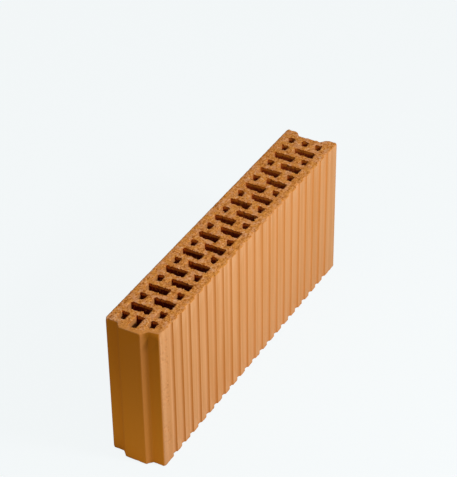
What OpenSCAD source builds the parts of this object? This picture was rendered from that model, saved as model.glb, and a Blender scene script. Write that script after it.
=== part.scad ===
// Hollow clay partition block, pressed through a die and fired in one piece.
// It stands on its lower bed face: X along the wall, Y across the wall, Z up.
// The tongue points to -X, the groove opens to +X, and the origin is under the middle of the block.

/* [Block] */
// Laying length between the tongue's shoulders and the groove's end face, in mm
laying_length = 500; // [300:1:600]
// Thickness of the wall that one block makes, in mm
thickness = 80; // [70:1:120]
// Height between the two wire-cut bed faces, in mm
height = 219; // [100:1:260]
// Rounding of the four upright corners, in mm
corner_round = 3; // [0.5:0.5:4]

/* [Tongue and groove] */
// How far the tongue stands out from its shoulders, in mm
tongue_out = 7.5; // [5:0.5:12]
// Width of the flat shoulder on each side of the tongue, in mm
shoulder = 17; // [12:0.5:20]
// Angle between the tongue's flanks and the end face, in degrees
flank_angle = 45; // [40:1:70]
// Room that the groove leaves around a neighbour's tongue, in mm
joint_play = 1; // [0.5:0.25:3]
// Rounding of the tongue's and the groove's edges, in mm
joint_round = 3; // [1:0.5:4]

/* [Upright cells] */
// Distance between neighbouring rows of cells, in mm
row_pitch = 21.8; // [18:0.1:30]
// Size of every cell along the block, in mm
cell_length = 13.5; // [8:0.5:15]
// Size of a short cell across the block, in mm
short_cell = 11.5; // [8:0.5:16]
// Size of an end row's middle cell across the block, in mm
middle_cell = 12; // [8:0.5:13]
// Clay between the cells and the plain long face, in mm
plain_wall = 11.5; // [8:0.5:14]
// Clay between the cells and the ribs of the fluted long face, in mm
fluted_wall = 14.5; // [11:0.5:16]
// Clay between the long cell and the short cell of one row, in mm
cross_web = 9.5; // [6:0.5:12]
// Clay between the tongue's tip and the cell behind it, in mm
tip_wall = 8.5; // [5:0.5:12]
// Least clay between the groove and the end row, in mm
groove_wall = 4; // [4:0.5:12]
// Rounding of the cells' corners, in mm
cell_round = 2; // [0.5:0.5:3]

/* [Plaster keys] */
// Radius of the round flutes in one long face, in mm
key_radius = 6; // [4:0.5:10]
// Depth of a flute, in mm
key_depth = 2.7; // [1:0.1:3.5]
// Rounding of a flute's two edges, in mm
key_round = 0.8; // [0.2:0.1:1]

/* [Hidden] */

// Straight steps that draw each rounded corner and each flute
arc_steps = 4;
key_steps = 8;

// Stations along the block
overall_length = laying_length + tongue_out;
tip_x = -overall_length / 2;
shoulder_x = tip_x + tongue_out;
far_x = overall_length / 2;
half_thickness = thickness / 2;

// Half widths of the tongue and of the groove that takes the next block's tongue
tongue_base = half_thickness - shoulder;
tongue_tip = tongue_base - tongue_out / tan(flank_angle);
groove_depth = tongue_out + joint_play;
groove_floor = tongue_tip + joint_play;
groove_mouth = groove_floor + groove_depth / tan(flank_angle);

// As many rows of cells as fit, the same number on each side of the middle
row_room = far_x - groove_depth - groove_wall - cell_length / 2;
half_rows = floor(row_room / row_pitch + 0.5);
end_row_x = (half_rows - 0.5) * row_pitch;
cells_width = thickness - plain_wall - fluted_wall;
cells_y = (fluted_wall - plain_wall) / 2;
long_cell = cells_width - cross_web - short_cell;
long_offset = (cells_width - long_cell) / 2;
short_offset = (cells_width - short_cell) / 2;

// The cell behind the tongue runs from the end row out towards the tip
tongue_cell_start = tip_x + tip_wall;
tongue_cell_end = cell_length / 2 - end_row_x;

// One flute over each web between two rows, in the -Y face only
half_keys = half_rows - 1;
key_swing = acos(1 - key_depth / key_radius);
key_axis_y = half_thickness - key_depth + key_radius;

// Outline corners as [x, y, radius] on the +Y side: the tongue's half and the groove's half
tongue_corners = [
    [tip_x, tongue_tip, joint_round],
    [shoulder_x, tongue_base, joint_round],
    [shoulder_x, half_thickness, corner_round],
];
groove_corners = [
    [far_x, half_thickness, corner_round],
    [far_x, groove_mouth, joint_round],
    [far_x - groove_depth, groove_floor, joint_round],
];
flute_corners = [for (i = [-half_keys : half_keys]) each key_corners(i * row_pitch)];

// A flute from edge to edge; only its two edges are rounded off
function key_corners(x) = [
    for (i = [0 : key_steps])
        let (a = key_swing * (2 * i / key_steps - 1))
        [
            x + key_radius * sin(a),
            key_axis_y - key_radius * cos(a),
            i == 0 || i == key_steps ? key_round : 0
        ]
];

// The same corners walked back along the -Y side
function other_side(corners) = [
    for (i = [len(corners) - 1 : -1 : 0]) [corners[i][0], -corners[i][1], corners[i][2]]
];

function unit(v) = v / norm(v);

// Points of the arc that rounds corner b between the corners a and c
function corner_arc(a, b, c) =
    let (
        p = [b[0], b[1]],
        u = unit([a[0], a[1]] - p),
        v = unit([c[0], c[1]] - p),
        half = acos(u * v) / 2,
        centre = p + unit(u + v) * b[2] / sin(half),
        first = p + u * b[2] / tan(half) - centre,
        last = p + v * b[2] / tan(half) - centre,
        start = atan2(first[1], first[0]),
        turn = atan2(cross(first, last), first * last)
    )
    [
        for (i = [0 : arc_steps])
            let (angle = start + turn * i / arc_steps)
            centre + b[2] * [cos(angle), sin(angle)]
    ];

// Closed outline in which each corner [x, y, radius] is rounded, or stays sharp at radius 0
function rounded(corners) =
    let (n = len(corners))
    [
        for (i = [0 : n - 1])
            each corners[i][2] == 0
                ? [[corners[i][0], corners[i][1]]]
                : corner_arc(corners[(i + n - 1) % n], corners[i], corners[(i + 1) % n])
    ];

module cell(x, y, length, width) {
    left = x - length / 2;
    right = x + length / 2;
    low = y - width / 2;
    high = y + width / 2;
    polygon(rounded([
        [left, low, cell_round],
        [right, low, cell_round],
        [right, high, cell_round],
        [left, high, cell_round],
    ]));
}

// Each row has a long cell against one long face and a short cell against the other, turn about
module staggered_rows() {
    for (i = [1 : 2 * half_rows - 2]) {
        x = (i - half_rows + 0.5) * row_pitch;
        side = i % 2 == 1 ? 1 : -1;
        cell(x, cells_y + side * long_offset, cell_length, long_cell);
        cell(x, cells_y - side * short_offset, cell_length, short_cell);
    }
}

// Three cells close the pattern at each end; the one behind the tongue is drawn out towards the tip
module end_rows() {
    for (x = [-end_row_x, end_row_x], side = [-1, 1]) {
        cell(x, cells_y + side * short_offset, cell_length, short_cell);
    }
    cell(
        (tongue_cell_start + tongue_cell_end) / 2,
        cells_y,
        tongue_cell_end - tongue_cell_start,
        middle_cell
    );
    cell(end_row_x, cells_y, cell_length, middle_cell);
}

module clay_block() {
    color([0.80, 0.53, 0.30])
        linear_extrude(height)
            difference() {
                polygon(rounded(concat(
                    tongue_corners,
                    groove_corners,
                    other_side(concat(tongue_corners, flute_corners, groove_corners))
                )));
                staggered_rows();
                end_rows();
            }
}

clay_block();
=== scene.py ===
# %% [markdown]
# # A hollow clay partition block
# The block is a column of clay that was pressed through a die, cut off with a wire and fired.
# So it has two kinds of surface: the die's smooth skin on every upright wall, and the wire's
# torn, grainy cut on the two beds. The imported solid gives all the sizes. This lesson gives the
# solid a finer mesh, wears its edges as the wire and rough handling did, and mixes the clay.

# %% Load the frame
import math

import bmesh
import bpy
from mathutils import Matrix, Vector, kdtree, noise


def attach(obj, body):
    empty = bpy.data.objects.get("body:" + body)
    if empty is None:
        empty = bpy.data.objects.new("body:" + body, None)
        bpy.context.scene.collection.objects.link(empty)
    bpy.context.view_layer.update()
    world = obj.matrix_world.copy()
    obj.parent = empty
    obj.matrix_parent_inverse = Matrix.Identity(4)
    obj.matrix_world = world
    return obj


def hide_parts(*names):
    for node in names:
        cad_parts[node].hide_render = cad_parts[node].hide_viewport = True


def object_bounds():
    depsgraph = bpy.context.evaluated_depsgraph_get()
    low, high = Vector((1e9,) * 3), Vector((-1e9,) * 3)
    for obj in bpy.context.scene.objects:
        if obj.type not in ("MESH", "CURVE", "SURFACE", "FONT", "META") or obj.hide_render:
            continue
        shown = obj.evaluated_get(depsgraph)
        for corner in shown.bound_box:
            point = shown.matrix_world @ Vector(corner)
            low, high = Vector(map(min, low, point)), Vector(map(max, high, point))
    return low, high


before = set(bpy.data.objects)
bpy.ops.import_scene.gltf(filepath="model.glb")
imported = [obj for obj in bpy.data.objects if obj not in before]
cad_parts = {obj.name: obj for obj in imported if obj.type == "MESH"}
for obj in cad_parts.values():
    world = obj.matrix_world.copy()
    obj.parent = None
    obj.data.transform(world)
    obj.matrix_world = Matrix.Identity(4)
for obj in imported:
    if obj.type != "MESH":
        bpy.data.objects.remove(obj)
cad_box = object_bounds()
MM = 0.001
print("box of the solid in mm:", [[round(c / MM, 1) for c in corner] for corner in cad_box])

# %% [markdown]
# ## Camera
# The block was seen from above its tongue end with a long lens, so its upright edges stay almost
# parallel. A camera could be placed by eye. Here its place and lens come from fitting the block's
# own corners, and therefore no shift is needed.

# %% Camera
focal_length = 135.02
camera_place = (-1.7035, -0.96172, 1.61847)
camera_turn = (54.0192, 0.6401, -61.0527)

lens = bpy.data.cameras.new("studio_camera")
lens.lens = focal_length
camera = bpy.data.objects.new("studio_camera", lens)
camera.location = camera_place
camera.rotation_euler = [math.radians(angle) for angle in camera_turn]
bpy.context.collection.objects.link(camera)
scene = bpy.context.scene
scene.camera = camera
scene.view_settings.view_transform = "Standard"
print("camera at", [round(c, 3) for c in camera.location])

# %% [markdown]
# ## The fine blank
# The die and the wire leave marks of about a millimetre, and the solid's big flat faces have no
# points to carry them. Subdividing the whole solid would spend most faces on smooth walls. So a
# copy is merged, its triangles are dissolved into whole faces, and planes cut it where marks are:
# a fine grid in line with the cells over the upper bed, a coarser one over the lower bed, level
# cuts that lie close together near both beds, and a small grid on the strip without flutes.

# %% Copy the solid and merge it into whole faces
weld_gap, flat_angle = 0.005 * MM, math.radians(0.5)
block = bmesh.new()
block.from_mesh(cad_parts["clay_block"].data)
bmesh.ops.remove_doubles(block, verts=block.verts, dist=weld_gap)
bmesh.ops.dissolve_limit(block, angle_limit=flat_angle, verts=block.verts, edges=block.edges)
print("whole faces:", len(block.faces))

# %% Cuts across an axis
cut_gap = 0.01 * MM


def cut_across(faces, axis, stations):
    """Cuts faces with planes across an axis: at the middle station first, then in each half."""
    if not faces or not stations:
        return
    middle = len(stations) // 2
    station = stations[middle]
    across = Vector((0, 0, 0))
    across[axis] = 1
    verts = {v for f in faces for v in f.verts}
    edges = {e for f in faces for e in f.edges}
    geom = [*verts, *edges, *faces]
    made = bmesh.ops.bisect_plane(
        block, geom=geom, dist=cut_gap, plane_co=across * station, plane_no=across
    )["geom"]
    sides = ([], [])
    for face in made:
        if isinstance(face, bmesh.types.BMFace):
            sides[face.calc_center_bounds()[axis] > station].append(face)
    cut_across(sides[0], axis, stations[:middle])
    cut_across(sides[1], axis, stations[middle + 1 :])


def spaced(start, stop, step):
    """Even stations about a step apart, from start up to stop, which is left out."""
    count = max(1, round(abs(stop - start) / step))
    return [start + (stop - start) * i / count for i in range(count)]


# %% Grid stations in line with the cells
row_pitch, row_count, cell_length = 21.8 * MM, 22, 13.5 * MM
middle_row = (row_count - 1) / 2
cell_ends = [y * MM for y in (-40, -25.5, -14, -4.5, 7.5, 17, 28.5, 40)]
fine_step, coarse_step = 1.5 * MM, 3 * MM


def bed_grid(step):
    """Stations along and across the block that meet the walls of the cells."""
    rows = [(row - middle_row) * row_pitch for row in range(row_count)]
    walls = [x + side * cell_length / 2 for x in rows for side in (-1, 1)]
    walls = [cad_box[0].x, *walls, cad_box[1].x]
    along = [x for a, b in zip(walls, walls[1:]) for x in spaced(a, b, step)][1:]
    over = [y for a, b in zip(cell_ends, cell_ends[1:]) for y in spaced(a, b, step)][1:]
    return along, over


print("stations of the fine grid:", [len(stations) for stations in bed_grid(fine_step)])

# %% The fine grid, kept only near the upper bed
height, TINY = cad_box[1].z, 0.001 * MM
worn_depths = [depth * MM for depth in (0.5, 1.1, 1.9, 3, 4.6, 6.8, 10)]
worn_depth = worn_depths[-1]
for axis, stations in enumerate(bed_grid(fine_step)):
    above_floor = [f for f in block.faces if f.calc_center_median().z > TINY]
    cut_across(above_floor, axis, stations)
cut_across(block.faces[:], 2, [height - worn_depth])
below = [v for v in block.verts if v.co.z < height - worn_depth - TINY]
edges_below = list({e for v in below for e in v.link_edges})
bmesh.ops.dissolve_limit(block, angle_limit=flat_angle, verts=below, edges=edges_below)
print("faces with the upper grid:", len(block.faces))

# %% The coarse grid over the lower bed, and the level cuts
level_step = 22 * MM
cut_across(block.faces[:], 2, [worn_depth])
for axis, stations in enumerate(bed_grid(coarse_step)):
    low_faces = [f for f in block.faces if all(v.co.z < worn_depth + TINY for v in f.verts)]
    cut_across(low_faces, axis, stations)
levels = worn_depths[:-1] + spaced(worn_depth, height - worn_depth, level_step)[1:]
levels += [height - depth for depth in reversed(worn_depths[:-1])]
cut_across(block.faces[:], 2, levels)
print("faces with both grids:", len(block.faces))

# %% A grid on the plain strip beside the tongue end
strip_x, strip_z, strip_step = (-245 * MM, -226 * MM), (30 * MM, 209 * MM), 1.2 * MM
for axis, span in ((0, strip_x), (2, strip_z)):
    fluted_side = [f for f in block.faces if f.normal.y < -0.9]
    strip = [f for f in fluted_side if f.calc_center_median().x < strip_x[1]]
    cut_across(strip, axis, spaced(*span, strip_step))
print("faces with the strip's grid:", len(block.faces))

# %% [markdown]
# ## Marks on the points
# Fired clay isn't of one colour: the wire's cut is grainy. Shade is painted in as well: the walls
# of the cells darken with depth, and flutes, strip and ends carry painted shade that sets them
# apart from the ribs. Such masks could be painted by hand, or worked out from coordinates in the
# shader.
# Here each point carries seven numbers from 0 to 1, because these follow the block's own edges.
# "cut" is the wire's cut and "inner" the depth in a cell, which sets its painted shade. "flute"
# stands for the painted shade on the flutes and the strip beside them and for the darker foot of
# the wall, and "end" for the painted shade on the two ends and, in part, the plain long face.
# "smear" and "fresh" are clay that was smeared or newly broken, and "lee" is painted shade on the
# top of the tongue's flank.

# %% Seven marks on each point
marks = ("cut", "inner", "flute", "end", "smear", "fresh", "lee")
layer = {mark: block.verts.layers.float.new(mark) for mark in marks}
print("marks on each point:", *marks)

# %% [markdown]
# ## Torn rims
# The wire drags the wet clay along. It hangs crumbs over the rims of the cells, it wears the
# outer rims down, and of the two corners beside the tongue it breaks one and bends the other
# inwards. A bevel would treat every edge alike. So each point on a rim gets its own push, drop
# and reach, mostly from noise, and the points around it follow, less and less with distance.

# %% Where a point lies
outer_x, outer_y = (-245.8 * MM, 244.8 * MM), 36 * MM


def is_outside(co):
    """True on the block's outline, false on the wall of a cell."""
    return abs(co.y) > outer_y or not outer_x[0] <= co.x <= outer_x[1]


def is_upright(face):
    """True for a wall, false for a bed."""
    return abs(face.normal.z) < 0.5


def facing(vert):
    """Level direction in which the walls at a point look."""
    total = Vector((0, 0, 0))
    for face in vert.link_faces:
        if is_upright(face):
            total += face.normal
    total.z = 0
    return total.normalized()


# %% Points near the beds, and those on the rims
LOWER, UPPER = 0, 1
block.normal_update()
bed_of, rims = {}, {LOWER: [], UPPER: []}
for vert in block.verts:
    if vert.co.z > height - worn_depth - TINY:
        bed_of[vert] = UPPER
    elif vert.co.z < worn_depth + TINY:
        bed_of[vert] = LOWER
for vert, bed in bed_of.items():
    on_bed = abs(vert.co.z - height * bed) < TINY
    if on_bed and any(is_upright(face) for face in vert.link_faces):
        rims[bed].append(vert)
print("points on the rims, lower and upper bed:", len(rims[LOWER]), len(rims[UPPER]))


# %% Slopes, and the way along a cell
def limit(value):
    """The value, held between 0 and 1."""
    return max(0.0, min(1.0, value))


def slope(value, start, stop):
    """0 up to start, 1 from stop on, and straight in between."""
    return limit((value - start) / (stop - start))


row_spans = {
    "end": [(-25.5, -14), (-4.5, 7.5), (17, 28.5)],
    "even": [(-25.5, 7.5), (17, 28.5)],
    "odd": [(-25.5, -14), (-4.5, 28.5)],
}


def along_cell(co):
    """Way along a cell, from 0 at its +Y end to 1 at its -Y end, and the cell's length in mm."""
    row, y = round(co.x / row_pitch + middle_row), co.y / MM
    kind = "end"
    if 1 <= row <= row_count - 2:
        kind = "odd" if row % 2 else "even"
    low, high = min(row_spans[kind], key=lambda span: max(span[0] - y, y - span[1]))
    return slope(y, high, low), high - low


# %% Noise in the sizes of crumbs, lumps and swells
crumb, lump, swell = 2.2 * MM, 5 * MM, 16 * MM


def ripple(co, size, shift):
    """Smooth noise from -1 to 1 with bumps of about the given size; a shift gives other bumps."""
    return noise.noise(Vector((co.x / size + shift, co.y / size - shift, co.z / size + 2 * shift)))


def rough(co):
    """An even 1, then the crumbs, lumps and swells at a point."""
    return 1, ripple(co, crumb, 7.7), ripple(co, lump, 3.1), ripple(co, swell, 1.3)


def weigh(weights, parts):
    """Sum of the parts, each times its weight."""
    return sum(weight * part for weight, part in zip(weights, parts))


# %% How far the rim of a cell is torn
burr_x, long_cell, cell_reach = (-230 * MM, -60 * MM), 33, 3.0


def tear_cell(co, look):
    """Push into the cell, drop from the bed and reach of the wear on a cell's rim, in mm."""
    parts = rough(co)
    burr = slope(co.x, *burr_x)
    way, length = along_cell(co)
    hang = burr * (1.1 + 3.2 * (0.45 - way) * length / long_cell) - 0.1
    push = max(look.x, 0) * weigh((hang, 2.9, 2.0), parts)
    push += max(-look.x, 0) * weigh((-0.4, 1.7, 1.4), parts)
    push += abs(look.y) * weigh((0.5 * burr - 0.2, 1.5, 1.2), parts)
    return push, weigh((0.2, 0.6, 0.35), parts), cell_reach


# %% How far an outer rim is torn
# Each push and drop weighs the parts of rough(): even, crumbs, lumps and swells, in mm.
edge_wear = {
    "fluted": {"push": (0.25, 0.5, 0.5), "drop": (0.3, 0.6, 0.7), "reach": 4},
    "plain": {"push": (0.05, 0.1, 0.1), "drop": (0.1, 0, 0.15), "reach": 3},
    "tongue": {"push": (0.5, 0, 0, 0.3), "drop": (0.5, 0, 0, 0.3), "reach": 8},
    "groove": {"push": (0.3, 0, 0.5), "drop": (0.4, 0, 0.6), "reach": 4},
    "broken": {"push": (1.9, 1, 1.6), "drop": (0, 0.5, 0.6)},
}
broken_y = (16 * MM, 26 * MM)


def tear_outline(co, look):
    """Push out of the wall, drop from the bed and reach of the wear on an outer rim, in mm."""
    parts = rough(co)
    shares = {"fluted": max(-look.y, 0), "plain": max(look.y, 0)}
    shares |= {"tongue": max(-look.x, 0), "groove": max(look.x, 0)}
    reach = sum(share * edge_wear[edge]["reach"] for edge, share in shares.items())
    reach /= max(sum(shares.values()), 0.01)
    shares["broken"] = shares["tongue"] * slope(co.y, *broken_y)
    push = -sum(share * weigh(edge_wear[edge]["push"], parts) for edge, share in shares.items())
    drop = sum(share * weigh(edge_wear[edge]["drop"], parts) for edge, share in shares.items())
    return min(push, 0), drop, reach


# %% The corner that leans inwards
tip_x, tongue_out = cad_box[0].x, 7.5 * MM
lean_radius, lean_reach, full_lean = 28 * MM, 10, Vector((4.5, 2.5, 0))


def near_corner(co):
    """1 at the corner between the tongue end and the fluted face, 0 from the radius on."""
    distance = math.hypot(co.x - tip_x - tongue_out, co.y - cad_box[0].y)
    return max(0.0, 1 - distance / lean_radius)


# %% Tear every rim
lower_wear = 0.35


def tear(vert, bed):
    """Level push, drop from the bed and reach of the wear at a rim point, in metres."""
    co, look = vert.co, facing(vert)
    lean = Vector((0, 0, 0))
    if is_outside(co):
        push, drop, reach = tear_outline(co, look)
        corner = near_corner(co) if bed == UPPER else 0.0
        lean = full_lean * corner
        drop *= 1 - min(1.0, 2 * corner)
        reach += (lean_reach - reach) * min(1.0, 2 * corner)
    else:
        push, drop, reach = tear_cell(co, look)
    strength = 1 if bed == UPPER else lower_wear
    return (look * push * strength + lean) * MM, max(drop, 0.0) * strength * MM, reach * MM


trees, tears = {}, {}
for bed, verts in rims.items():
    trees[bed] = kdtree.KDTree(len(verts))
    for i, vert in enumerate(verts):
        trees[bed].insert(vert.co, i)
    trees[bed].balance()
    tears[bed] = [tear(vert, bed) for vert in verts]
print("deepest drop of a rim in mm:", round(max(drop for _, drop, _ in tears[UPPER]) / MM, 2))

# %% [markdown]
# ## Wear
# A wire-cut bed is grainy, with fine lines along the wire's way, and smooth where the wire
# smeared the clay: above the tongue and along the fluted edge. A bump in the shader would leave
# the rims straight, so the points themselves sink and lean. The same round over all points sets
# their marks, because what a point is made of depends on where it lay before it moved.

# %% The wire's grain
grain_size, drag_width, drag_length, wave_size = 3.5 * MM, 1.6 * MM, 26 * MM, 45 * MM


def wire_cut(co):
    """Depth of the grain that the wire leaves on a bed, with drag lines across the block."""
    grains = noise.fractal(co / grain_size, 0.7, 2.1, 3)
    drags = noise.noise(Vector((co.x / drag_width, co.y / drag_length, 4.2)))
    waves = ripple(co, wave_size, 9.4)
    return (0.3 + 0.45 * grains + 0.2 * drags + 0.12 * waves) * MM


# %% Smears and fresh breaks
tongue_half, smear_end, smear_lip = 15.5 * MM, 7 * MM, 6 * MM
fresh_spots = (((-229 * MM, -10 * MM), 1.3, 5.5 * MM), ((-244 * MM, 30 * MM), 1.5, 11 * MM))


def smeared(co):
    """1 where the wire smeared the bed: above the tongue and along the fluted edge."""
    shoulder = slope(abs(co.y), tongue_half, tongue_half + tongue_out)
    from_end, from_side = co.x - tip_x - shoulder * tongue_out, co.y - cad_box[0].y
    end = 1.5 - from_end / smear_end - 1.2 * max(0.0, (co.y - 17 * MM) / (9 * MM))
    lip = 0.75 - from_side / smear_lip + 0.5 * ripple(co, 7 * MM, 2.6)
    return limit(max(end, lip))


def freshly_broken(co):
    """1 on a crumb between the first cells and at the broken corner."""
    return limit(max(core - math.dist(co.xy, spot) / size for spot, core, size in fresh_spots))


# %% Marks on the wall of a cell
dark_depth, wall_flute_shade = 10 * MM, 0.65


def mark_cell(vert, look, depth):
    """Paints shade on a cell's wall: the deeper a point lies, the darker its colour, except on the
    end wall that faces the light.
    """
    lit = slope(-look.y, 0.78, 0.98)
    # painted shade grows faster towards the cell's -Y end, and four times as fast in the corners
    # beside the lit end wall
    gloom = 0.95 + 0.4 * along_cell(vert.co)[0]
    if look.x < -0.3 and look.y < -0.3:
        gloom *= 4
    # the walls also take the flutes' painted shade colour
    vert[layer["flute"]] = wall_flute_shade
    vert[layer["inner"]] = min(1.0, gloom * depth / dark_depth) * (1 - lit)


# %% Marks on the long faces
flutes_end, strip_flute, foot_height = 224 * MM, 0.2, 4.5 * MM


def flute_mark(co):
    """Painted shade on the fluted face: strong at the +X edge of a flute, even on the plain strip.
    """
    across = (co.x - round(co.x / row_pitch) * row_pitch) / MM
    if abs(across) < 5.6 and abs(co.x) < flutes_end:
        edge = max(0.2, (5.4 - across) / 0.4)
        return min((across / 4.4) ** 2, edge) if across > 0 else -0.05 * across
    return strip_flute if co.x < -flutes_end else 0.0


def mark_face(vert):
    """The flutes' painted shade, and the darker foot of the wall on both long faces."""
    co = vert.co
    shade = flute_mark(co) if co.y < 0 else 0.0
    vert[layer["flute"]] = min(1.0, max(shade, 0.9 - co.z / foot_height))


# %% Marks on the outline
face_end, plain_face_shade = 242 * MM, 0.55
lip_z, flank_y, inward_y = (187 * MM, 214 * MM), (-23.5 * MM, -17.5 * MM), (-16 * MM, -22 * MM)


def mark_outline(vert, look):
    """Painted shade on the long faces, the corners beside them, and the two ends with tongue and
    groove.
    """
    co = vert.co
    # the plain long face, which is in shade, takes part of the ends' painted shade
    end = plain_face_shade if co.y > outer_y else 0.0
    under_lip = slope(co.z, *lip_z) ** 1.5 if co.x < 0 else 0.0
    to_light = max(0.0, -look.y)
    if abs(co.x) < face_end:
        mark_face(vert)
    elif abs(co.y) > outer_y:
        # painted shade where a corner turns towards an end, and painted lee shade on the shoulder's
        # top
        end = max(end, min(1.0, 3.2 * abs(look.x) - 2.0))
        if co.y < 0 and look.x < -0.95:
            vert[layer["lee"]] = 0.4 * under_lip
    else:
        # painted shade on the ends, less on the flank that faces the light, and painted lee shade
        # on the flank's top
        end = 1 - 0.5 * slope(co.y, *flank_y) * to_light
        vert[layer["lee"]] = under_lip * slope(co.y, *inward_y) * min(1.0, 0.1 + 1.3 * to_light)
    vert[layer["end"]] = end if co.x < 0 else min(end, 0.5)


# %% The wear of a point near a bed
grain_depth, fresh_depth, least_edge = 6 * MM, 3 * MM, 0.8 * MM


def wear(vert, bed, depth):
    """Marks a point near a bed, and gives the way that it moves."""
    co, upper = vert.co, bed == UPPER
    _, index, distance = trees[bed].find(co)
    push, drop, reach = tears[bed][index]
    share = max(0.0, 1 - distance / reach) ** 2
    fade = max(0.0, 1 - depth / grain_depth)
    smear = smeared(co) if upper else 0.0
    vert[layer["smear"]] = smear
    vert[layer["fresh"]] = freshly_broken(co) if upper and depth < fresh_depth else 0.0
    if depth < TINY:
        vert[layer["cut"]] = 1 - 0.8 * near_corner(co) ** 2 if upper else 1.0
    else:
        edge = max(drop * 1.5, least_edge) * (1 + 0.5 * ripple(co, 4 * MM, 5.5))
        vert[layer["cut"]] = limit(1.35 - depth / edge) * (1 - near_corner(co))
    sink = drop * share + max(wire_cut(co), 0) * fade * (1 - 0.8 * smear)
    return push * share + Vector((0, 0, -sink if upper else sink))


# %% Mark all points and move those near the beds
moves = {}
for vert in block.verts:
    depth = min(height - vert.co.z, vert.co.z)
    look = facing(vert) if depth > TINY else Vector((0, 0, 0))
    if not is_outside(vert.co):
        mark_cell(vert, look, depth)
    elif depth > TINY:
        mark_outline(vert, look)
    if vert in bed_of:
        moves[vert] = wear(vert, bed_of[vert], depth)

bed_faces = [f for f in block.faces if abs(f.normal.z) > 0.9]
bed_faces = bmesh.ops.triangulate(block, faces=bed_faces)["faces"]
block.normal_update()
outward = {f: 1 if f.normal.z > 0 else -1 for f in bed_faces}
for vert, move in moves.items():
    vert.co += move
print("points moved:", len(moves))

# %% [markdown]
# ## Folds
# Where a push is wider than the grid, a triangle of the bed can turn over, and such a fold shows
# as a dark speck. A weaker push would lose the crumbs. So the folded triangles are found by their
# normals and their points are smoothed until they lie flat again, after some rounds together with
# the points beside them.

# %% Ease the folds
rounds, rounds_alone, least_level = 14, 6, 0.1
for turn in range(rounds):
    block.normal_update()
    folded = [f for f in bed_faces if f.normal.z * outward[f] < least_level]
    print("folded faces:", len(folded))
    if not folded:
        break
    crowded = {v for f in folded for v in f.verts}
    if turn >= rounds_alone:
        crowded |= {e.other_vert(v) for v in crowded for e in v.link_edges}
    bmesh.ops.smooth_vert(
        block, verts=list(crowded), factor=0.5, use_axis_x=True, use_axis_y=True, use_axis_z=True
    )

# %% [markdown]
# ## Scuffs
# The strip beside the tongue end was knocked while the clay was soft, which left a patch of
# shallow dents. A bump in the shader would do from the front, but the dents are up to 1.4 mm deep
# and should hold from every side. So noise pushes the points of the strip's own grid inwards.

# %% A rough patch on the plain strip
strip_face_y, patch_middle, patch_half = -39.5 * MM, -236 * MM, 9 * MM
dent_size, dent_depth, patch_size = 3.4 * MM, 3.6 * MM, 38 * MM
dented = 0
for vert in block.verts:
    co = vert.co
    if co.y < strip_face_y and strip_x[0] < co.x < strip_x[1] and vert not in moves:
        middle = 1 - abs(co.x - patch_middle) / patch_half
        patch = limit(min(3 * middle, 1.2 + 2.5 * ripple(co, patch_size, 6.2)))
        dent = max(0.0, ripple(Vector((co.x, co.z, 0)), dent_size, 8.3) - 0.05)
        vert.co.y += dent_depth * min(dent, 0.4) * patch
        dented += dent * patch > 0
print("points in dents:", dented)

# %% [markdown]
# ## The piece
# On the outline every push and drop goes inwards, so the worn block stays inside the solid's box
# and takes the solid's place. It could be shaded flat, but then every facet of the flutes would
# show. So it is shaded smooth, and only edges over 50 degrees are sharp.

# %% Make the piece
sharp_angle = math.radians(50)
for face in block.faces:
    face.smooth = True
mesh = bpy.data.meshes.new("worn_block")
block.to_mesh(mesh)
block.free()
mesh.set_sharp_from_angle(angle=sharp_angle)
worn_block = bpy.data.objects.new("worn_block", mesh)
bpy.context.collection.objects.link(worn_block)
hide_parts("clay_block")
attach(worn_block, "root")
mesh.calc_loop_triangles()
print("triangles of the worn block:", len(mesh.loop_triangles))

# %% [markdown]
# ## Fired clay
# The clay fires to a warm orange and is dull and porous all over. A material for the skin and
# another for the cut would meet in a hard line. So one material mixes all its colours by the
# marks on the points, with noise on the object's own coordinates to break them up.


# %% A socket that takes part in sums
class Socket:
    """Wraps a shader socket, so that an expression on values adds Math nodes."""

    def __init__(self, tree, socket=None):
        self.tree, self.socket = tree, socket

    def node(self, kind, settings=None, sockets=None, output=0):
        """Adds a node: its settings first, then the values or links of its sockets."""
        made = self.tree.nodes.new(kind)
        for name, value in (settings or {}).items():
            setattr(made, name, value)
        for name, value in (sockets or {}).items():
            if isinstance(value, Socket):
                self.tree.links.new(value.socket, made.inputs[name])
            else:
                made.inputs[name].default_value = value
        return Socket(self.tree, made.outputs[output] if made.outputs else None)

    def sum(self, operation, first, second):
        return self.node("ShaderNodeMath", {"operation": operation}, {0: first, 1: second})

    def __add__(self, other):
        return self.sum("ADD", self, other)

    def __radd__(self, other):
        return self.sum("ADD", other, self)

    def __sub__(self, other):
        return self.sum("SUBTRACT", self, other)

    def __rsub__(self, other):
        return self.sum("SUBTRACT", other, self)

    def __mul__(self, other):
        return self.sum("MULTIPLY", self, other)

    def __rmul__(self, other):
        return self.sum("MULTIPLY", other, self)


# %% Mixes, steps and noise in the shader
def mix(factor, first, second):
    """Colour between two colours."""
    return factor.node(
        "ShaderNodeMix", {"data_type": "RGBA"}, {0: factor, 6: first, 7: second}, output=2
    )


def ramp(value, low, high):
    """Smooth step from 0 at low to 1 at high."""
    return value.node(
        "ShaderNodeMapRange",
        {"interpolation_type": "SMOOTHSTEP"},
        {"Value": value, "From Min": low, "From Max": high},
    )


def grain(place, scale, stretch=(1, 1, 1), detail=2.0, roughness=0.5):
    """Noise on the object's own coordinates; scale is in lumps per metre."""
    scales = [part * scale for part in stretch]
    spread = place.node("ShaderNodeVectorMath", {"operation": "MULTIPLY"}, {0: place, 1: scales})
    return place.node(
        "ShaderNodeTexNoise",
        None,
        {"Vector": spread, "Scale": 1.0, "Detail": detail, "Roughness": roughness},
    )


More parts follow.
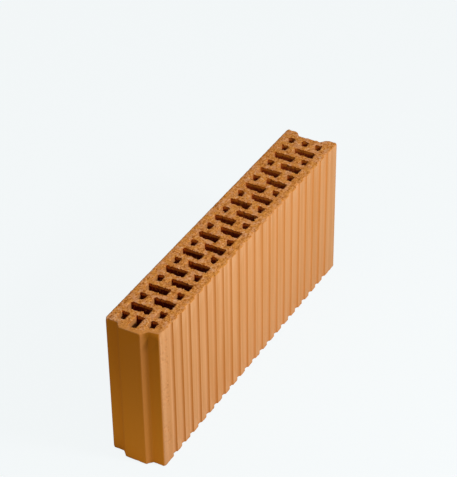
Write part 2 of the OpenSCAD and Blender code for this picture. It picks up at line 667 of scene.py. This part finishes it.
# %% Start the clay and fetch the marks
clay = bpy.data.materials.new("fired_clay_worn")
clay.use_nodes = True
tree = clay.node_tree
tree.nodes.clear()
start = Socket(tree)
place = start.node("ShaderNodeTexCoord", output=3)
along, up = (start.node("ShaderNodeSeparateXYZ", None, {0: place}, output=i) for i in (0, 2))
cut, inner, flute, end, smear, fresh, lee = (
    start.node("ShaderNodeAttribute", {"attribute_name": mark}, output=2) for mark in marks
)
print("nodes for place and marks:", len(tree.nodes))

# %% [markdown]
# ## The die's skin
# The die polishes the clay and leaves faint streaks along the way it was pressed, which is upright
# here. A wave texture would be too regular. So noise that is drawn out forty times upright gives
# the streaks, broad clouds pale them, and the marks bring in the painted shade of the flutes, the
# ends and the top of the tongue's flank.

# %% The die's skin
streak_dark, streak_light = (0.635, 0.295, 0.110, 1), (0.735, 0.380, 0.170, 1)
cloud_pale, lee_shade_brown = (0.715, 0.376, 0.175, 1), (0.286, 0.099, 0.006, 1)
flute_shade_far, flute_shade_near = (0.655, 0.252, 0.055, 1), (0.51, 0.17, 0.016, 1)
end_shade_low, end_shade_high = (0.78, 0.265, 0.012, 1), (0.575, 0.18, 0.004, 1)

streak = grain(place, 150, (1, 1, 0.025), 3.0, 0.6)
cloud = grain(place, 14, (1, 1, 0.5), 3.0)
skin = mix(ramp(streak, 0.3, 0.7), streak_dark, streak_light)
skin = mix(ramp(cloud, 0.35, 0.75) * 0.4, skin, cloud_pale)
# painted shade in the flutes, darker near the tongue end than near the groove
skin = mix(flute * 0.85, skin, mix(ramp(along, 0.05, -0.23), flute_shade_far, flute_shade_near))
# painted shade on the ends, lighter towards the bottom
skin = mix(end * 0.96, skin, mix(ramp(up, 0.0, 0.219), end_shade_low, end_shade_high))
# painted shade on the top of the tongue's flank
skin = mix(lee, skin, lee_shade_brown)
print("nodes with the skin:", len(tree.nodes))

# %% [markdown]
# ## The wire's cut
# The wire opens the clay: light grains stand out, dark pores gape, and drawn-out lines show its
# way. One noise would look like sponge. So separate noises lay the specks, the tints, the pores
# and the drag lines over one another, and smears and fresh breaks come last.

# %% The wire's cut
speck_dark, speck_light = (0.51, 0.15, 0.014, 1), (0.90, 0.40, 0.115, 1)
tint_pale, tint_yellow = (0.76, 0.37, 0.185, 1), (0.76, 0.315, 0.05, 1)
pore_dark, grain_light = (0.34, 0.09, 0.006, 1), (0.95, 0.55, 0.28, 1)
drag_dark, smear_even = (0.46, 0.14, 0.015, 1), (0.68, 0.27, 0.06, 1)
fresh_pale = (0.86, 0.48, 0.25, 1)

speck = grain(place, 380, (1, 1, 1), 4.0, 0.7)
pore = grain(place, 240, (1, 1, 1), 3.0, 0.6)
drag = grain(place, 380, (1, 0.12, 1), 2.0)
tint = grain(place, 120, (1, 1, 1), 2.0)
cut_clay = mix(ramp(speck, 0.38, 0.62), speck_dark, speck_light)
cut_clay = mix(ramp(tint, 0.50, 0.66) * 0.55, cut_clay, tint_pale)
cut_clay = mix(ramp(tint, 0.48, 0.36) * 0.45, cut_clay, tint_yellow)
cut_clay = mix(ramp(pore, 0.46, 0.33) * 0.85, cut_clay, pore_dark)
cut_clay = mix(ramp(pore, 0.58, 0.70) * 0.7, cut_clay, grain_light)
cut_clay = mix(ramp(drag, 0.55, 0.75) * 0.4, cut_clay, drag_dark)
cut_clay = mix(smear * 0.8, cut_clay, smear_even)
cut_clay = mix(fresh * ramp(speck, 0.42, 0.6) * 0.7, cut_clay, fresh_pale)
print("nodes with the cut:", len(tree.nodes))

# %% [markdown]
# ## Inside the cells
# A cell is narrow and deep. Its walls are dark under the rim, glow where light bounces between
# them, and turn a deep red below. Bounced light alone gives only a part of that here. So the rest
# is painted shade and painted bounce light: the mark "inner" leads through these three colours,
# each with one value near the tongue and another near the groove, and a mottle keeps the walls
# from looking painted.

# %% Inside the cells
rim_shade_near, rim_shade_far = (0.42, 0.07, 0.005, 1), (0.40, 0.095, 0.006, 1)
glow_near, glow_far = (0.68, 0.17, 0.012, 1), (0.54, 0.16, 0.011, 1)
deep_shade_near, deep_shade_far = (0.115, 0.007, 0.003, 1), (0.32, 0.052, 0.009, 1)
mottle_dark, mottle_light = (0.10, 0.010, 0.003, 1), (0.60, 0.20, 0.03, 1)

colour = mix(cut, skin, cut_clay)
groove_side = ramp(along, -0.1, 0.22)
# painted shade under the rim, painted bounce light below it, then painted deep shade
colour = mix(ramp(inner, 0.0, 0.02), colour, mix(groove_side, rim_shade_near, rim_shade_far))
colour = mix(ramp(inner, 0.10, 0.28), colour, mix(groove_side, glow_near, glow_far))
colour = mix(ramp(inner, 0.38, 0.66), colour, mix(ramp(along, -0.16, 0.14), deep_shade_near, deep_shade_far))
mottle = grain(place, 300, (1, 1, 0.7), 2.0)
wall = ramp(inner, 0.0, 0.1)
colour = mix(wall * ramp(mottle, 0.48, 0.34) * 0.6, colour, mottle_dark)
colour = mix(wall * ramp(mottle, 0.54, 0.70) * 0.5, colour, mottle_light)
print("nodes with the cells:", len(tree.nodes))

# %% [markdown]
# ## Relief and sheen
# Grains finer than the mesh still catch the light, and the skin has a trace of its streaks. Real
# points for them would cost millions of faces, so a bump of under a millimetre carries them. The
# fired clay hardly shines: it is rough all over, with next to no gloss.

# %% Relief and sheen
bump_strength, bump_height = 0.6, 0.8 * MM
clay_roughness, clay_gloss = 0.9, 0.06

fine = grain(place, 1400, (1, 1, 1), 3.0, 0.6)
cut_relief = cut * (1 - 0.7 * smear) * (speck * 0.9 + fine * 0.4)
relief = cut_relief + (1 - cut) * (streak * 0.25 + fine * 0.12)
bump = start.node(
    "ShaderNodeBump", None, {"Height": relief, "Strength": bump_strength, "Distance": bump_height}
)
sheen = {"Roughness": clay_roughness, "Specular IOR Level": clay_gloss}
surface = start.node(
    "ShaderNodeBsdfPrincipled", None, {"Base Color": colour, "Normal": bump, **sheen}
)
start.node("ShaderNodeOutputMaterial", None, {"Surface": surface})
mesh.materials.append(clay)
print("nodes in the clay:", len(tree.nodes))

# %% [markdown]
# ## Floor and light
# The block stands on a plain pale floor. A floor lit until it is that pale would throw too much
# light back on the block, so it is lifted towards white for the camera alone, and for clear and
# glossy rays. A round lamp before the fluted face and above it draws the edges of the flutes and
# leaves the tongue end in half shade, and a white room fills the rest.

# %% Floor
floor_half, floor_gap = 8, 0.3 * MM
ground = bmesh.new()
bmesh.ops.create_grid(ground, x_segments=1, y_segments=1, size=floor_half)
floor_mesh = bpy.data.meshes.new("floor")
ground.to_mesh(floor_mesh)
ground.free()
floor = bpy.data.objects.new("floor", floor_mesh)
floor.location.z = -floor_gap
bpy.context.collection.objects.link(floor)
print("floor in mm:", round(floor.location.z / MM, 2))

# %% The floor's material
floor_grey, floor_white, seen_share = (0.75, 0.75, 0.75, 1), (0.94, 0.977, 0.986, 1), 0.92
pale = bpy.data.materials.new("pale_floor")
pale.use_nodes = True
pale.node_tree.nodes.clear()
start = Socket(pale.node_tree)
dull = start.node("ShaderNodeBsdfDiffuse", None, {"Color": floor_grey})
glow = start.node("ShaderNodeEmission", None, {"Color": floor_white, "Strength": 1.0})
camera_ray, glossy_ray, clear_ray = (
    start.node("ShaderNodeLightPath", output=name)
    for name in ("Is Camera Ray", "Is Glossy Ray", "Is Transmission Ray")
)
seen = (camera_ray + glossy_ray + clear_ray) * seen_share
surface = start.node("ShaderNodeMixShader", None, {0: seen, 1: dull, 2: glow})
start.node("ShaderNodeOutputMaterial", None, {"Surface": surface})
floor_mesh.materials.append(pale)
print("nodes in the floor:", len(pale.node_tree.nodes))

# %% Lamp and room
lamp_target, lamp_distance = Vector((0, 0, 0.1)), 1.25
lamp_way = Vector((-0.015, -0.78, 0.63)).normalized()
lamp_width, lamp_power, room_strength = 0.26, 10.2, 0.335

key_data = bpy.data.lights.new("key_lamp", "AREA")
key_data.shape, key_data.size = "DISK", lamp_width
key_data.energy = lamp_power
key = bpy.data.objects.new("key_lamp", key_data)
key.location = lamp_target + lamp_way * lamp_distance
key.rotation_mode = "QUATERNION"
key.rotation_quaternion = lamp_way.to_track_quat("Z", "Y")
bpy.context.collection.objects.link(key)
room = bpy.data.worlds.new("room")
scene.world = room
room.use_nodes = True
background = room.node_tree.nodes["Background"]
background.inputs["Color"].default_value = (1, 1, 1, 1)
background.inputs["Strength"].default_value = room_strength
print("key lamp at", [round(c, 2) for c in key.location])
